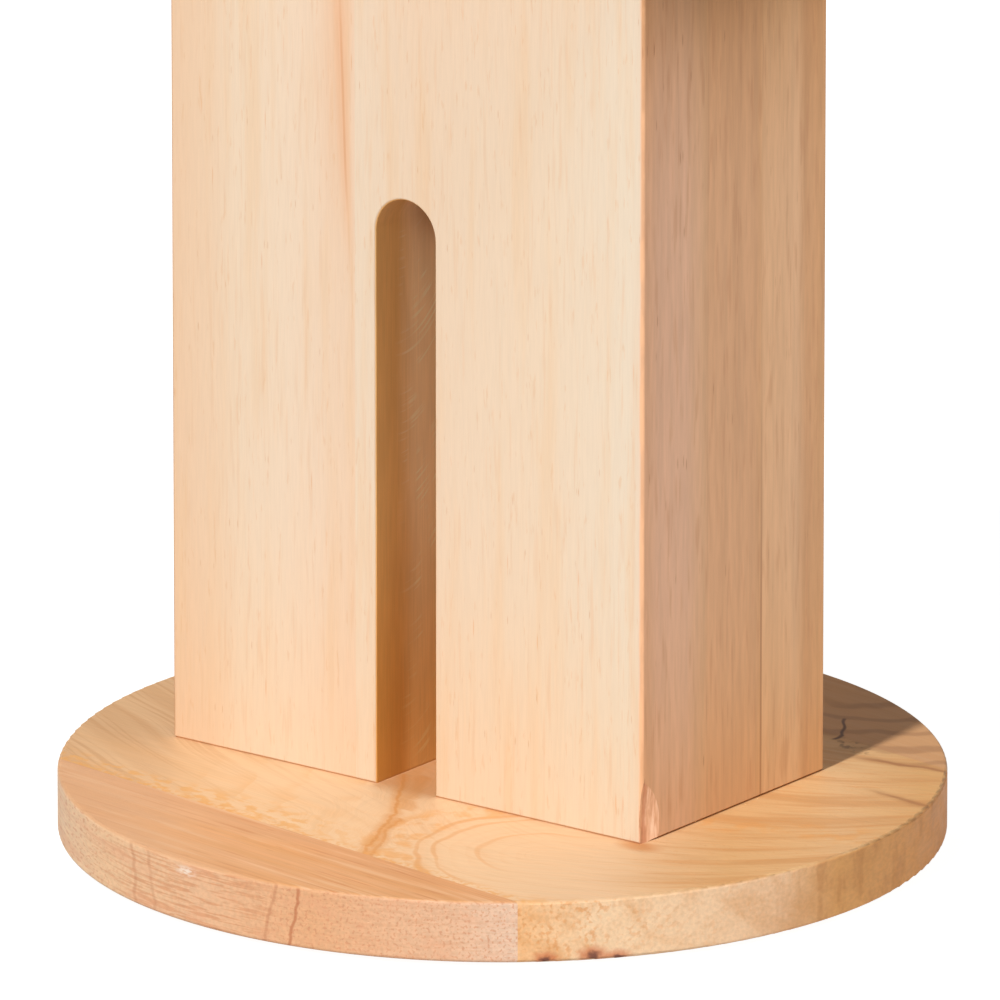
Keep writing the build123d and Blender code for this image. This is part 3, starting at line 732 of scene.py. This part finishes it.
def base_outer(name, seed):
    """Orange-pink boards at the front and rear, with straight fine grain and a creamier rim."""
    g = Wood(name, seed, BASE_GRAIN)
    stripe = g.grain(120, 3.4, 2, 0.4)
    pale_tone, warm_tone = tone(236, 178, 128, TOP_LIGHT), tone(231, 168, 112, TOP_LIGHT)
    colour = g.mix(g.step(stripe, 0.34, 0.70), pale_tone, warm_tone)
    warm = g.noise(g.times(g.u, 0.030), g.times(g.v, 0.09), seed, detail=2.0)
    colour = g.mix(g.step(warm, 0.42, 0.66, 0, 0.60), colour, tone(238, 172, 112, TOP_LIGHT))
    by_glue = g.step(g.math("ABSOLUTE", g.v), BASE_GLUE_LINE + 9.0, BASE_GLUE_LINE + 2.0)
    colour = g.tint(colour, by_glue, 0.45, (226, 166, 122), TOP_LIGHT)
    fine = g.grain(16, 0.45, 3, 1.5)
    colour = g.strengthen(colour, g.step(fine, 0.25, 0.75, 0.93, 1.05))
    dashes = g.pores(9.0, 0.8, 0.20, 0.25, 6.0)
    colour = g.tint(colour, dashes, 0.45, (196, 122, 70), TOP_LIGHT)
    streaks = g.step(g.grain(22, 1.0, 2, 7.7), 0.54, 0.70)
    colour = g.tint(colour, streaks, 0.64, (212, 138, 84), TOP_LIGHT)
    pale = g.step(g.grain(34, 1.7, 2, 5.0), 0.52, 0.68)
    colour = g.tint(colour, pale, 0.58, (246, 200, 156), TOP_LIGHT)
    turned = g.direction(*RIM_COURSE)
    colour = g.mix(g.step(turned, -40.0, -78.0, 0, 0.55), colour, tone(238, 190, 148, TOP_LIGHT))
    if name == "base_board_rear":
        colour = g.mix(0.7, colour, tone(216, 164, 112, TOP_LIGHT))
        colour = swirl(g, colour)

    # The rim's tones along its length; the lighter tones at its left end are painted light, standing in for
    # fill from that side.
    edge = g.ramp(g.scale(turned, -90.0, 5.0), [
        (0.00, tone(244, 204, 162, RIM_LIGHT)), (0.12, tone(238, 194, 150, RIM_LIGHT)),
        (0.30, tone(234, 186, 145, RIM_LIGHT)), (0.55, tone(230, 174, 128, RIM_LIGHT)),
        (0.85, tone(234, 188, 152, RIM_LIGHT)), (1.00, tone(237, 203, 176, RIM_LIGHT)),
    ])
    fibres = g.noise(g.times(turned, 0.17), 2.0 + seed, g.times(g.z, 2.0), detail=3.0, distortion=0.7)
    long_grain = g.step(turned, -42.0, -54.0)
    long_grain = g.times(long_grain, g.step(turned, -86.0, -70.0))
    strength = g.math("MULTIPLY_ADD", long_grain, 0.42, 0.18)
    edge = g.tint(edge, g.step(fibres, 0.46, 0.62), strength, (212, 140, 94), RIM_LIGHT)
    dots = g.step(g.noise(g.times(turned, 1.6), 3.0, g.times(g.z, 1.6), detail=1.0), 0.54, 0.66)
    edge = g.tint(edge, dots, g.math("MULTIPLY_ADD", long_grain, -0.40, 0.52), (212, 136, 96), RIM_LIGHT)
    grain = g.noise(g.times(turned, 1.3), seed, g.times(g.z, 1.3), detail=2.0)
    edge = g.strengthen(edge, g.step(grain, 0.3, 0.7, 0.95, 1.05))
    pink = g.step(g.noise(g.times(turned, 0.12), 6.0, g.times(g.z, 0.25)), 0.5, 0.7)
    edge = g.tint(edge, pink, 0.35, (232, 168, 128), RIM_LIGHT)
    for foot, head, strength in UPRIGHT_LINES:
        waver = g.minus(g.noise(g.times(g.z, 0.25), 0.31 * abs(foot), 1.0), 0.5)
        line = g.stroke(g.z, g.plus(turned, g.times(waver, 1.6)), (1.0, foot), (BASE_TOP, head), 0.50, 0.4)
        edge = g.tint(edge, line, strength, (186, 104, 62), RIM_LIGHT)
    ragged = g.noise(g.times(turned, 0.9), 3.0, g.times(g.z, 1.6), detail=2.0)
    spot = g.times(g.near(turned, SPOT[0], 0.3, 2.6), g.near(g.z, SPOT[1], 0.1, 1.5))
    edge = g.tint(edge, spot, g.step(ragged, 0.35, 0.6), (246, 224, 204))
    colour = g.mix(rim_mask(g), colour, edge)
    return board_finish(g, colour, fine)


def board_finish(g, colour, fine):
    height = g.blend3(fine, 0.6, g.pores(11.0, 0.8, 0.22, 0.22, 6.0), -0.7)
    roughness = g.step(g.grain(60, 4, 2, 3.0), 0.3, 0.7, 0.44, 0.54)
    return g.finish(colour, roughness, height, 0.00005, Specular_IOR_Level=0.4)


# ---------------------------------------------------------------- plate and turned parts


def plate_board(name, seed, light, dark):
    g = Wood(name, seed, PLATE_GRAIN, (COLUMN_X, COLUMN_Y))
    pith = g.plus(g.v, 34.0 + 9.0 * seed)
    deep = g.plus(g.w, 28.0 - PLATE_TOP)
    lean = g.plus(pith, g.waver(12.0, g.times(g.u, 0.02), g.times(g.v, 0.03), seed))
    field = g.hypot(lean, deep)
    rings = g.saw(field, 4.6, g.times(g.grain(80, 20, 2, 1.0), 0.9))
    colour = g.mix(g.times(rings, 0.45), light, dark)
    stripe = g.grain(140, 4.0, 2, 0.6)
    colour = g.mix(g.step(stripe, 0.45, 0.7, 0, 0.5), colour, dark)
    fine = g.grain(60, 0.5, 3, 1.5)
    colour = g.strengthen(colour, g.step(fine, 0.25, 0.75, 0.95, 1.04))
    colour = g.tint(colour, g.pores(9.0, 0.75, 0.22, 0.25, 2.0), 0.4, (190, 122, 74), TOP_LIGHT)
    return board_finish(g, colour, fine)


def turned_wood(name, seed):
    g = Wood(name, seed)
    lean = g.plus(g.x, g.math("MULTIPLY_ADD", g.noise(g.times(g.z, 0.012), seed, 2.0), 16.0, 20.0 + seed))
    field = g.hypot(lean, g.y)
    rings = g.saw(field, 3.3, g.noise(g.times(g.z, 0.01), 5.0, seed))
    fine = g.grain(42, 0.5, 3)
    colour = g.tint(tone(245, 214, 180, TOP_LIGHT), rings, 0.35, (232, 178, 126), TOP_LIGHT)
    stripes = g.step(g.grain(90, 3.0, 2, 4.0), 0.5, 0.75, 0, 0.4)
    colour = g.mix(stripes, colour, tone(243, 194, 148, TOP_LIGHT))
    colour = g.strengthen(colour, g.step(fine, 0.25, 0.75, 0.95, 1.03))
    colour = g.tint(colour, g.pores(6.0, 0.5, 0.22, 0.10, 1.0), 0.45, (200, 134, 84), TOP_LIGHT)
    lathe = g.noise(0.0, 0.0, g.times(g.z, 3.0), detail=2.0)
    height = g.blend3(fine, 0.4, lathe, 0.5)
    return g.finish(colour, g.step(fine, 0.3, 0.7, 0.42, 0.5), height, 0.00004, Specular_IOR_Level=0.4)


# ---------------------------------------------------------------- fittings


def metal(name, low, high, roughness):
    g = Graph(name)
    mottle = g.noise(g.times(g.x, 0.35), g.times(g.y, 0.35), g.times(g.z, 0.35), detail=3.0)
    brushed = g.noise(g.times(g.x, 3.0), g.times(g.y, 3.0), g.times(g.z, 14.0), detail=2.0)
    colour = g.mix(g.step(mottle, 0.3, 0.7), low, high)
    rough = g.step(brushed, 0.2, 0.8, roughness - 0.07, roughness + 0.1)
    return g.finish(colour, rough, brushed, 0.00002, Metallic=1.0)


def rubber(name):
    g = Graph(name)
    speckle = g.noise(g.times(g.x, 3.0), g.times(g.y, 3.0), g.times(g.z, 3.0), detail=3.0)
    worn = g.noise(g.times(g.x, 0.3), g.times(g.y, 0.3), g.times(g.z, 0.3))
    colour = g.mix(g.step(worn, 0.35, 0.7), (0.012, 0.012, 0.013, 1), (0.032, 0.031, 0.030, 1))
    return g.finish(colour, g.step(speckle, 0.2, 0.8, 0.62, 0.85), speckle, 0.00008)


def nylon(name):
    g = Graph(name)
    dx, dy = g.minus(g.x, COLUMN_X), g.minus(g.y, COLUMN_Y)
    reach = g.hypot(dx, dy)
    rings = g.math("SINE", g.times(reach, 18.0))
    cloud = g.noise(g.times(g.x, 0.2), g.times(g.y, 0.2), 1.0)
    colour = g.mix(g.step(cloud, 0.3, 0.7), (0.74, 0.72, 0.66, 1), (0.82, 0.81, 0.77, 1))
    return g.finish(colour, g.step(cloud, 0.2, 0.8, 0.32, 0.45), rings, 0.00001)


# ---------------------------------------------------------------- stage


def plain_floor():
    mesh = bpy.data.meshes.new("floor")
    size = FLOOR_HALF_WIDTH
    level = CAD_BOX[0].z - 0.00002
    corners = [(-size, -size, level), (size, -size, level), (size, size, level), (-size, size, level)]
    mesh.from_pydata(corners, [], [(0, 1, 2, 3)])
    floor = bpy.data.objects.new("floor", mesh)
    bpy.context.scene.collection.objects.link(floor)
    material = bpy.data.materials.new("floor")
    material.use_nodes = True
    tree = material.node_tree
    tree.nodes.clear()
    seen, cast = tree.nodes.new("ShaderNodeEmission"), tree.nodes.new("ShaderNodeEmission")
    seen.inputs["Strength"].default_value = FLOOR_SEEN
    cast.inputs["Strength"].default_value = FLOOR_CAST
    rays = tree.nodes.new("ShaderNodeLightPath")
    glow = tree.nodes.new("ShaderNodeMixShader")
    matt = tree.nodes.new("ShaderNodeBsdfDiffuse")
    matt.inputs["Color"].default_value = (FLOOR_REFLECTANCE,) * 3 + (1,)
    both = tree.nodes.new("ShaderNodeAddShader")
    output = tree.nodes.new("ShaderNodeOutputMaterial")
    tree.links.new(rays.outputs["Is Camera Ray"], glow.inputs[0])
    tree.links.new(cast.outputs[0], glow.inputs[1])
    tree.links.new(seen.outputs[0], glow.inputs[2])
    tree.links.new(glow.outputs[0], both.inputs[0])
    tree.links.new(matt.outputs[0], both.inputs[1])
    tree.links.new(both.outputs[0], output.inputs[0])
    mesh.materials.append(material)
    return floor


def sky():
    world = bpy.data.worlds.new("studio")
    bpy.context.scene.world = world
    world.use_nodes = True
    tree = world.node_tree
    tree.nodes.clear()
    seen, cast = tree.nodes.new("ShaderNodeBackground"), tree.nodes.new("ShaderNodeBackground")
    seen.inputs["Color"].default_value = (1, 1, 1, 1)
    cast.inputs["Color"].default_value = (*SKY, 1)
    rays = tree.nodes.new("ShaderNodeLightPath")
    choice = tree.nodes.new("ShaderNodeMixShader")
    output = tree.nodes.new("ShaderNodeOutputWorld")
    tree.links.new(rays.outputs["Is Camera Ray"], choice.inputs[0])
    tree.links.new(cast.outputs[0], choice.inputs[1])
    tree.links.new(seen.outputs[0], choice.inputs[2])
    tree.links.new(choice.outputs[0], output.inputs[0])


def sun(name, lit):
    """A soft-edged distant light that falls only on the objects in lit."""
    way, elevation, power, spread = SUNS[name]
    light = bpy.data.lights.new(name, "SUN")
    light.energy = power
    light.angle = math.radians(spread)
    lamp = bpy.data.objects.new(name, light)
    bpy.context.scene.collection.objects.link(lamp)
    level = Vector((*way, 0)).normalized()
    rise = math.radians(elevation)
    course = level * math.cos(rise) - Vector((0, 0, math.sin(rise)))
    lamp.rotation_euler = course.to_track_quat("-Z", "Y").to_euler()
    group = bpy.data.collections.new(name)
    for obj in lit:
        group.objects.link(obj)
    lamp.light_linking.receiver_collection = group


def camera():
    data = bpy.data.cameras.new("camera")
    data.lens = LENS
    data.sensor_width = SENSOR
    data.clip_end = 200.0
    view = bpy.data.objects.new("camera", data)
    bpy.context.scene.collection.objects.link(view)
    back = Vector((
        math.sin(VIEW_AZIMUTH) * math.cos(VIEW_ELEVATION),
        -math.cos(VIEW_AZIMUTH) * math.cos(VIEW_ELEVATION),
        math.sin(VIEW_ELEVATION),
    ))
    view.location = VIEW_TARGET + back * VIEW_DISTANCE
    view.rotation_euler = (-back).to_track_quat("-Z", "Y").to_euler()
    bpy.context.scene.camera = view


def dress():
    """One material for each CAD node."""
    amber, honey = tone(236, 178, 120, TOP_LIGHT), tone(246, 204, 154, TOP_LIGHT)
    rose, sand = tone(228, 162, 108, TOP_LIGHT), tone(240, 186, 138, TOP_LIGHT)
    zinc = metal("zinc_steel", (0.50, 0.51, 0.53, 1), (0.66, 0.66, 0.67, 1), 0.34)
    looks = {
        "base_board_front": base_outer("base_board_front", 1.3),
        "base_board_middle": base_middle(),
        "base_board_rear": base_outer("base_board_rear", 6.2),
        "rubber_pads": rubber("pad_rubber"),
        "column_dowels": turned_wood("dowel_wood", 2.0),
        "slip_disc": nylon("slip_nylon"),
        "plate_board_front": plate_board("plate_board_front", 1.0, sand, rose),
        "plate_board_middle": plate_board("plate_board_middle", 2.0, honey, amber),
        "plate_board_rear": plate_board("plate_board_rear", 3.0, sand, rose),
        "plate_bush": metal("bush_bronze", (0.40, 0.22, 0.09, 1), (0.56, 0.33, 0.14, 1), 0.42),
        "core_hub": turned_wood("core_hub", 4.0),
        "spindle": turned_wood("spindle", 6.0),
        "finial_knob": turned_wood("finial_knob", 8.0),
    }
    for name, (seed, tones, marks) in STAVES.items():
        looks[name] = column_stave(name, seed, tones, marks)
    for name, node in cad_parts.items():
        node.data.materials.clear()
        node.data.materials.append(looks.get(name, zinc))


dress()
floor = plain_floor()
sky()
column = [node for name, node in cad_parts.items() if name.startswith("column_")]
rest = [node for name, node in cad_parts.items() if not name.startswith("column_")] + [floor]
for name in SUNS:
    sun(name, column if name.endswith("column") else rest)
camera()
bpy.context.scene.view_settings.view_transform = "Standard"
